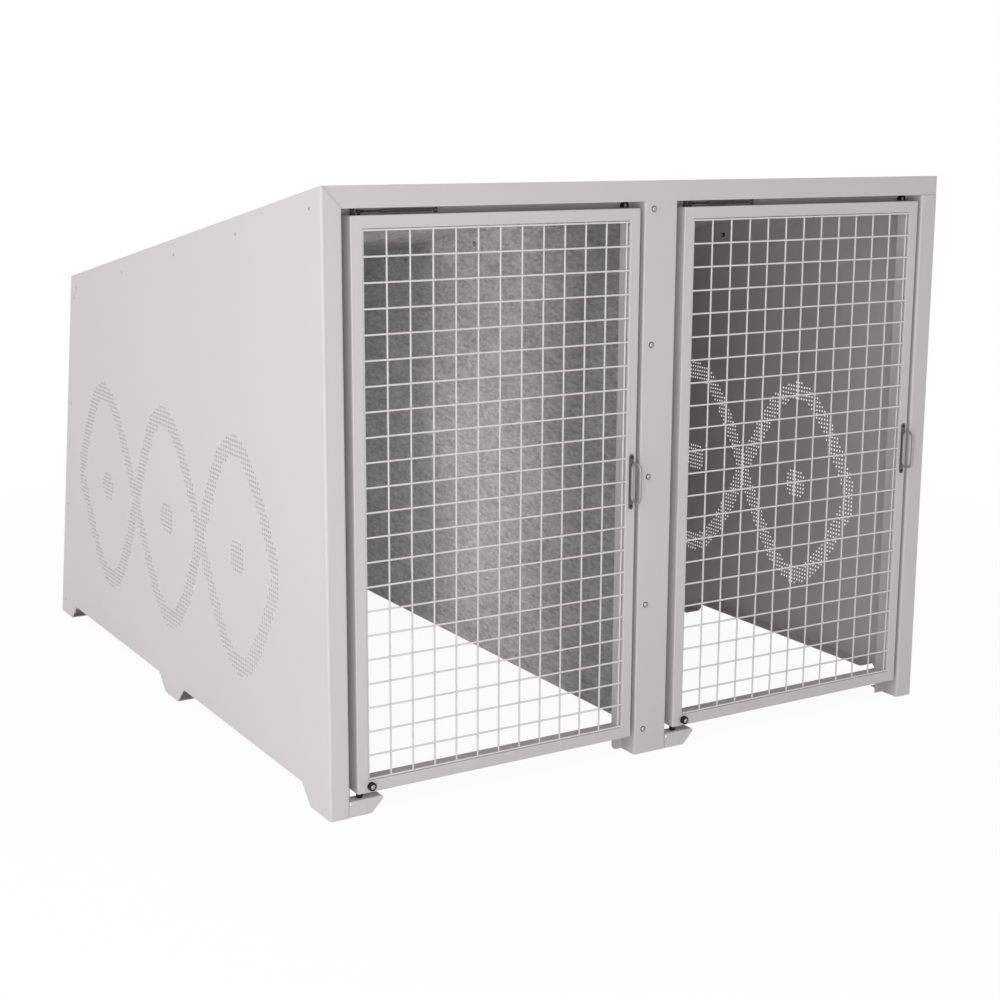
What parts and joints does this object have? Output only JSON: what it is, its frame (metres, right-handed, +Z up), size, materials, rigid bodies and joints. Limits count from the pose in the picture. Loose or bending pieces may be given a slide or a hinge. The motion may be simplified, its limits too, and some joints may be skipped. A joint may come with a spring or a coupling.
{
  "type": "bicycle locker",
  "caption": "Twin bicycle locker of folded sheet steel with a sloping roof, perforated side panels, a galvanised partition and hinged mesh doors with gas stays.",
  "frame": {"origin": "on the ground under the middle of the locker's box", "axes": "+X to the right seen from the doors, +Y from the doors to the rear, +Z up"},
  "size_m": [1.5666, 1.805, 1.25],
  "materials": {
    "frame_paint": "satin light warm grey powder coat",
    "door_paint": "satin light warm grey powder coat",
    "mesh_coating": "satin light grey coating",
    "galvanised": "hot-dip galvanised, mottled spangle",
    "zinc_fasteners": "bright zinc",
    "dark_fasteners": "blackened",
    "handle_metal": "satin",
    "black_rubber": "matt",
    "black_plastic": "matt",
    "strut_cylinder": "satin black",
    "strut_rod": "black oxide"
  },
  "bodies": {
    "frame": {"left_side_panel": "frame_paint", "right_side_panel": "frame_paint", "mid_post": "frame_paint", "left_roof": "frame_paint", "right_roof": "frame_paint", "left_back": "frame_paint", "right_back": "frame_paint", "partition": "galvanised", "left_side_screws": "zinc_fasteners", "right_side_screws": "zinc_fasteners", "partition_screws": "zinc_fasteners", "mid_post_screws": "zinc_fasteners", "left_side_nuts": "zinc_fasteners", "right_side_nuts": "zinc_fasteners", "partition_nuts": "zinc_fasteners", "mid_post_nuts": "zinc_fasteners", "left_header_buffer": "black_rubber", "left_header_buffer_bolt": "dark_fasteners", "left_pivot_bracket": "frame_paint", "left_lower_pin": "zinc_fasteners", "left_upper_pin": "zinc_fasteners", "left_strut_bolt": "dark_fasteners", "right_header_buffer": "black_rubber", "right_header_buffer_bolt": "dark_fasteners", "right_pivot_bracket": "frame_paint", "right_lower_pin": "zinc_fasteners", "right_upper_pin": "zinc_fasteners", "right_strut_bolt": "dark_fasteners"},
    "left_door": {"left_hinge_stile": "door_paint", "left_latch_stile": "door_paint", "left_top_rail": "door_paint", "left_bottom_rail": "door_paint", "left_mesh": "mesh_coating", "left_handle": "handle_metal", "left_handle_screws": "dark_fasteners", "left_door_buffer": "black_rubber", "left_door_buffer_bolt": "zinc_fasteners", "left_lower_bush": "black_plastic", "left_upper_bush": "black_plastic", "left_stay_stud": "dark_fasteners"},
    "left_strut_cylinder": {"left_strut_tube": "strut_cylinder"},
    "left_strut_piston": {"left_strut_rod": "strut_rod"},
    "right_door": {"right_hinge_stile": "door_paint", "right_latch_stile": "door_paint", "right_top_rail": "door_paint", "right_bottom_rail": "door_paint", "right_mesh": "mesh_coating", "right_handle": "handle_metal", "right_handle_screws": "dark_fasteners", "right_door_buffer": "black_rubber", "right_door_buffer_bolt": "zinc_fasteners", "right_lower_bush": "black_plastic", "right_upper_bush": "black_plastic", "right_stay_stud": "dark_fasteners"},
    "right_strut_cylinder": {"right_strut_tube": "strut_cylinder"},
    "right_strut_piston": {"right_strut_rod": "strut_rod"}
  },
  "joints": [
    {"name": "left_door_swing", "type": "hinge", "parent": "frame", "child": "left_door", "pos_m": [-0.7095, -0.8495, 0.0445], "axis": [0, 0, -1], "range_deg": [0, 100]},
    {"name": "left_strut_swing", "type": "hinge", "parent": "frame", "child": "left_strut_cylinder", "pos_m": [-0.53, -0.8495, 1.2005], "axis": [0, 0, 1], "range_deg": [0, 5]},
    {"name": "left_strut_stroke", "type": "slide", "parent": "left_strut_cylinder", "child": "left_strut_piston", "axis": [-1, 0, 0], "range_m": [0, 0.014]},
    {"name": "right_door_swing", "type": "hinge", "parent": "frame", "child": "right_door", "pos_m": [0.0705, -0.8495, 0.0445], "axis": [0, 0, -1], "range_deg": [0, 100]},
    {"name": "right_strut_swing", "type": "hinge", "parent": "frame", "child": "right_strut_cylinder", "pos_m": [0.25, -0.8495, 1.2005], "axis": [0, 0, 1], "range_deg": [0, 5]},
    {"name": "right_strut_stroke", "type": "slide", "parent": "right_strut_cylinder", "child": "right_strut_piston", "axis": [-1, 0, 0], "range_m": [0, 0.014]}
  ],
  "couplings": [
    {"joint": "left_strut_swing", "follows": "left_door_swing", "ratio": 0.0495},
    {"joint": "left_strut_stroke", "follows": "left_door_swing", "m_per_rad": 0.0079},
    {"joint": "right_strut_swing", "follows": "right_door_swing", "ratio": 0.0495},
    {"joint": "right_strut_stroke", "follows": "right_door_swing", "m_per_rad": 0.0079}
  ]
}
